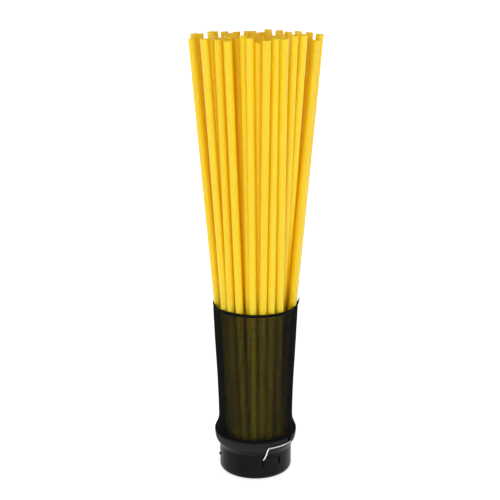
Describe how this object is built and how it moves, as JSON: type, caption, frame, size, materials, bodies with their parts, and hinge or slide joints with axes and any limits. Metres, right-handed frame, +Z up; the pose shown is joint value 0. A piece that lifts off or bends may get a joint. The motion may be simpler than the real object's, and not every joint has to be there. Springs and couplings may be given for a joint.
{
  "type": "tube bundle holder",
  "caption": "long hollow plastic tubes fanning out of a round black cup, wrapped by a black net sleeve and closed by a wire keeper",
  "frame": {"origin": "on the standing surface, at the centre of the cup's foot", "axes": "+Z up along the cup's axis; -Y faces the keeper slots and the moulded panel; +X is the keeper's pivot side"},
  "size_m": [0.1911, 0.1814, 0.6648],
  "materials": {
    "cup_plastic": "black injection-moulded plastic, satin with soft highlights and fine handling scratches",
    "hem_elastic": "black woven elastic hem with fine ribs",
    "net": "fine black polyester net, see-through where it faces the eye",
    "rim_cord": "thin black twisted binding cord",
    "wire": "bright drawn spring wire, lightly brushed",
    "tube_plastic": "saturated yellow extruded plastic, satin, slightly translucent"
  },
  "bodies": {
    "holder": {"base_cup": "cup_plastic", "hem_band": "hem_elastic", "mesh_sleeve": "net", "rim_cord": "rim_cord"},
    "wire_clip": {"wire_clip": "wire"},
    "tube_01": {"tube_01": "tube_plastic"},
    "tube_02": {"tube_02": "tube_plastic"},
    "tube_03": {"tube_03": "tube_plastic"},
    "tube_04": {"tube_04": "tube_plastic"},
    "tube_05": {"tube_05": "tube_plastic"},
    "tube_06": {"tube_06": "tube_plastic"},
    "tube_07": {"tube_07": "tube_plastic"},
    "tube_08": {"tube_08": "tube_plastic"},
    "tube_09": {"tube_09": "tube_plastic"},
    "tube_10": {"tube_10": "tube_plastic"},
    "tube_11": {"tube_11": "tube_plastic"},
    "tube_12": {"tube_12": "tube_plastic"},
    "tube_13": {"tube_13": "tube_plastic"},
    "tube_14": {"tube_14": "tube_plastic"},
    "tube_15": {"tube_15": "tube_plastic"},
    "tube_16": {"tube_16": "tube_plastic"},
    "tube_17": {"tube_17": "tube_plastic"},
    "tube_18": {"tube_18": "tube_plastic"},
    "tube_19": {"tube_19": "tube_plastic"},
    "tube_20": {"tube_20": "tube_plastic"},
    "tube_21": {"tube_21": "tube_plastic"},
    "tube_22": {"tube_22": "tube_plastic"},
    "tube_23": {"tube_23": "tube_plastic"},
    "tube_24": {"tube_24": "tube_plastic"},
    "tube_25": {"tube_25": "tube_plastic"},
    "tube_26": {"tube_26": "tube_plastic"},
    "tube_27": {"tube_27": "tube_plastic"},
    "tube_28": {"tube_28": "tube_plastic"},
    "tube_29": {"tube_29": "tube_plastic"},
    "tube_30": {"tube_30": "tube_plastic"},
    "tube_31": {"tube_31": "tube_plastic"},
    "tube_32": {"tube_32": "tube_plastic"},
    "tube_33": {"tube_33": "tube_plastic"},
    "tube_34": {"tube_34": "tube_plastic"},
    "tube_35": {"tube_35": "tube_plastic"},
    "tube_36": {"tube_36": "tube_plastic"},
    "tube_37": {"tube_37": "tube_plastic"},
    "tube_38": {"tube_38": "tube_plastic"},
    "tube_39": {"tube_39": "tube_plastic"},
    "tube_40": {"tube_40": "tube_plastic"},
    "tube_41": {"tube_41": "tube_plastic"},
    "tube_42": {"tube_42": "tube_plastic"},
    "tube_43": {"tube_43": "tube_plastic"},
    "tube_44": {"tube_44": "tube_plastic"},
    "tube_45": {"tube_45": "tube_plastic"},
    "tube_46": {"tube_46": "tube_plastic"},
    "tube_47": {"tube_47": "tube_plastic"}
  },
  "joints": [
    {"name": "wire_clip_swing", "type": "hinge", "parent": "holder", "child": "wire_clip", "pos_m": [0.05292, -0.03437, 0.0595], "axis": [0, 0, 1], "range_deg": [0, 110]},
    {"name": "tube_01_draw", "type": "slide", "parent": "holder", "child": "tube_01", "axis": [-0.0833, -0.0264, 0.9962], "range_m": [0, 0.66]},
    {"name": "tube_02_draw", "type": "slide", "parent": "holder", "child": "tube_02", "axis": [-0.0641, -0.0463, 0.9969], "range_m": [0, 0.66]},
    {"name": "tube_03_draw", "type": "slide", "parent": "holder", "child": "tube_03", "axis": [-0.0484, -0.0486, 0.9976], "range_m": [0, 0.66]},
    {"name": "tube_04_draw", "type": "slide", "parent": "holder", "child": "tube_04", "axis": [-0.0395, -0.0378, 0.9985], "range_m": [0, 0.66]},
    {"name": "tube_05_draw", "type": "slide", "parent": "holder", "child": "tube_05", "axis": [-0.0441, -0.0327, 0.9985], "range_m": [0, 0.66]},
    {"name": "tube_06_draw", "type": "slide", "parent": "holder", "child": "tube_06", "axis": [-0.037, -0.0486, 0.9981], "range_m": [0, 0.66]},
    {"name": "tube_07_draw", "type": "slide", "parent": "holder", "child": "tube_07", "axis": [-0.0184, -0.0537, 0.9984], "range_m": [0, 0.66]},
    {"name": "tube_08_draw", "type": "slide", "parent": "holder", "child": "tube_08", "axis": [-0.0092, -0.0515, 0.9986], "range_m": [0, 0.66]},
    {"name": "tube_09_draw", "type": "slide", "parent": "holder", "child": "tube_09", "axis": [-0.0022, -0.0744, 0.9972], "range_m": [0, 0.66]},
    {"name": "tube_10_draw", "type": "slide", "parent": "holder", "child": "tube_10", "axis": [0.0115, -0.0771, 0.997], "range_m": [0, 0.66]},
    {"name": "tube_11_draw", "type": "slide", "parent": "holder", "child": "tube_11", "axis": [0.0114, -0.052, 0.9986], "range_m": [0, 0.66]},
    {"name": "tube_12_draw", "type": "slide", "parent": "holder", "child": "tube_12", "axis": [0.0102, -0.0681, 0.9976], "range_m": [0, 0.66]},
    {"name": "tube_13_draw", "type": "slide", "parent": "holder", "child": "tube_13", "axis": [0.0309, -0.1233, 0.9919], "range_m": [0, 0.66]},
    {"name": "tube_14_draw", "type": "slide", "parent": "holder", "child": "tube_14", "axis": [0.0547, -0.1232, 0.9909], "range_m": [0, 0.66]},
    {"name": "tube_15_draw", "type": "slide", "parent": "holder", "child": "tube_15", "axis": [0.0863, -0.004, 0.9963], "range_m": [0, 0.66]},
    {"name": "tube_16_draw", "type": "slide", "parent": "holder", "child": "tube_16", "axis": [0.0788, -0.0021, 0.9969], "range_m": [0, 0.66]},
    {"name": "tube_17_draw", "type": "slide", "parent": "holder", "child": "tube_17", "axis": [-0.0801, -0.0266, 0.9964], "range_m": [0, 0.66]},
    {"name": "tube_18_draw", "type": "slide", "parent": "holder", "child": "tube_18", "axis": [-0.0609, 0.0317, 0.9976], "range_m": [0, 0.66]},
    {"name": "tube_19_draw", "type": "slide", "parent": "holder", "child": "tube_19", "axis": [-0.0512, 0.0316, 0.9982], "range_m": [0, 0.66]},
    {"name": "tube_20_draw", "type": "slide", "parent": "holder", "child": "tube_20", "axis": [-0.0432, 0.0329, 0.9985], "range_m": [0, 0.66]},
    {"name": "tube_21_draw", "type": "slide", "parent": "holder", "child": "tube_21", "axis": [-0.0353, 0.0388, 0.9986], "range_m": [0, 0.66]},
    {"name": "tube_22_draw", "type": "slide", "parent": "holder", "child": "tube_22", "axis": [-0.0193, 0.0406, 0.999], "range_m": [0, 0.66]},
    {"name": "tube_23_draw", "type": "slide", "parent": "holder", "child": "tube_23", "axis": [-0.0128, 0.0718, 0.9973], "range_m": [0, 0.66]},
    {"name": "tube_24_draw", "type": "slide", "parent": "holder", "child": "tube_24", "axis": [0.0027, 0.074, 0.9973], "range_m": [0, 0.66]},
    {"name": "tube_25_draw", "type": "slide", "parent": "holder", "child": "tube_25", "axis": [0.0093, 0.0424, 0.9991], "range_m": [0, 0.66]},
    {"name": "tube_26_draw", "type": "slide", "parent": "holder", "child": "tube_26", "axis": [0.0233, 0.0439, 0.9988], "range_m": [0, 0.66]},
    {"name": "tube_27_draw", "type": "slide", "parent": "holder", "child": "tube_27", "axis": [0.031, 0.0457, 0.9985], "range_m": [0, 0.66]},
    {"name": "tube_28_draw", "type": "slide", "parent": "holder", "child": "tube_28", "axis": [0.0606, 0.0657, 0.996], "range_m": [0, 0.66]},
    {"name": "tube_29_draw", "type": "slide", "parent": "holder", "child": "tube_29", "axis": [0.0702, 0.0557, 0.996], "range_m": [0, 0.66]},
    {"name": "tube_30_draw", "type": "slide", "parent": "holder", "child": "tube_30", "axis": [0.0529, -0.0008, 0.9986], "range_m": [0, 0.66]},
    {"name": "tube_31_draw", "type": "slide", "parent": "holder", "child": "tube_31", "axis": [-0.0662, -0.0249, 0.9975], "range_m": [0, 0.66]},
    {"name": "tube_32_draw", "type": "slide", "parent": "holder", "child": "tube_32", "axis": [-0.0292, -0.0302, 0.9991], "range_m": [0, 0.66]},
    {"name": "tube_33_draw", "type": "slide", "parent": "holder", "child": "tube_33", "axis": [-0.0293, -0.0161, 0.9994], "range_m": [0, 0.66]},
    {"name": "tube_34_draw", "type": "slide", "parent": "holder", "child": "tube_34", "axis": [-0.012, -0.0245, 0.9996], "range_m": [0, 0.66]},
    {"name": "tube_35_draw", "type": "slide", "parent": "holder", "child": "tube_35", "axis": [-0.0637, -0.0095, 0.9979], "range_m": [0, 0.66]},
    {"name": "tube_36_draw", "type": "slide", "parent": "holder", "child": "tube_36", "axis": [-0.0578, 0.0068, 0.9983], "range_m": [0, 0.66]},
    {"name": "tube_37_draw", "type": "slide", "parent": "holder", "child": "tube_37", "axis": [0.0222, 0.0091, 0.9997], "range_m": [0, 0.66]},
    {"name": "tube_38_draw", "type": "slide", "parent": "holder", "child": "tube_38", "axis": [0.0194, -0.0117, 0.9997], "range_m": [0, 0.66]},
    {"name": "tube_39_draw", "type": "slide", "parent": "holder", "child": "tube_39", "axis": [-0.007, 0.0224, 0.9997], "range_m": [0, 0.66]},
    {"name": "tube_40_draw", "type": "slide", "parent": "holder", "child": "tube_40", "axis": [-0.0311, 0.0362, 0.9989], "range_m": [0, 0.66]},
    {"name": "tube_41_draw", "type": "slide", "parent": "holder", "child": "tube_41", "axis": [0.0138, 0.0502, 0.9986], "range_m": [0, 0.66]},
    {"name": "tube_42_draw", "type": "slide", "parent": "holder", "child": "tube_42", "axis": [0.0227, 0.0085, 0.9997], "range_m": [0, 0.66]},
    {"name": "tube_43_draw", "type": "slide", "parent": "holder", "child": "tube_43", "axis": [-0.0616, -0.0093, 0.9981], "range_m": [0, 0.66]},
    {"name": "tube_44_draw", "type": "slide", "parent": "holder", "child": "tube_44", "axis": [0.0177, -0.0227, 0.9996], "range_m": [0, 0.66]},
    {"name": "tube_45_draw", "type": "slide", "parent": "holder", "child": "tube_45", "axis": [-0.0504, 0.0144, 0.9986], "range_m": [0, 0.66]},
    {"name": "tube_46_draw", "type": "slide", "parent": "holder", "child": "tube_46", "axis": [0.0371, 0.0274, 0.9989], "range_m": [0, 0.66]},
    {"name": "tube_47_draw", "type": "slide", "parent": "holder", "child": "tube_47", "axis": [0.004, 0.0591, 0.9982], "range_m": [0, 0.66]}
  ]
}
